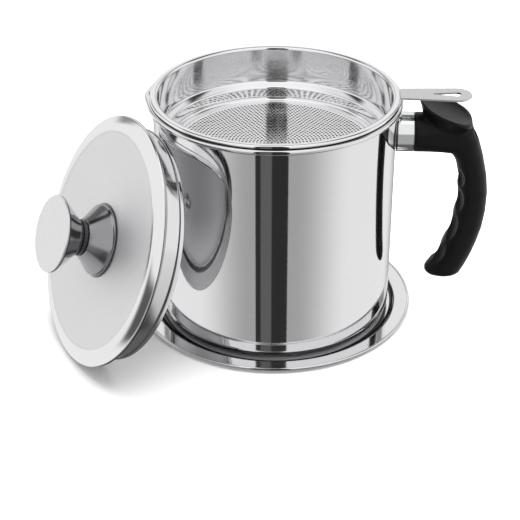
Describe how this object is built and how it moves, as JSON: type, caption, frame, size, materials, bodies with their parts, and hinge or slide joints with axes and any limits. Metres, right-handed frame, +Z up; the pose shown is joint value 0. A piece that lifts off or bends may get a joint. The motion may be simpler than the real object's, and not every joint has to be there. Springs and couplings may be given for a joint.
{
  "type": "bacon grease container",
  "caption": "Steel pot for kept cooking fat, with a pour lip, C handle, drop-in strainer with a tab, drip tray, and a knobbed lid that leans beside it.",
  "frame": {"origin": "on the pot's axis, on the underside of the drip tray, which is the table", "axes": "+X along the handle's arm, away from the pot; +Y to the far side of the picture; +Z up"},
  "size_m": [0.2565, 0.1956, 0.1351],
  "materials": {
    "polished_steel": "mirror polished",
    "satin_steel": "satin",
    "chromed_steel": "bright plated",
    "zinc_steel": "zinc plated",
    "black_bakelite": "satin",
    "dark_collar": "gloss"
  },
  "bodies": {
    "tray": {"drip_tray": "polished_steel"},
    "pot": {"pot_body": "polished_steel", "handle_bracket": "chromed_steel", "handle_stud": "satin_steel", "handle_grip": "black_bakelite", "handle_screw": "zinc_steel", "handle_washer": "zinc_steel"},
    "strainer": {"strainer_cup": "polished_steel", "strainer_screen": "satin_steel", "strainer_tab": "satin_steel"},
    "lid": {"lid_cover": "polished_steel", "lid_skirt": "polished_steel", "knob_base": "chromed_steel", "knob_neck": "dark_collar", "knob_cap": "chromed_steel", "knob_face": "satin_steel", "knob_nut": "zinc_steel", "knob_screw": "zinc_steel", "knob_washer": "zinc_steel"}
  },
  "joints": [
    {"name": "pot_lift", "type": "slide", "parent": "tray", "child": "pot", "axis": [0, 0, 1], "range_m": [0, 0.06]},
    {"name": "strainer_lift", "type": "slide", "parent": "pot", "child": "strainer", "axis": [0, 0, 1], "range_m": [0, 0.08]},
    {"name": "lid_lift", "type": "slide", "parent": "tray", "child": "lid", "axis": [-0.8109, -0.4495, 0.3746], "range_m": [0, 0.06]}
  ]
}
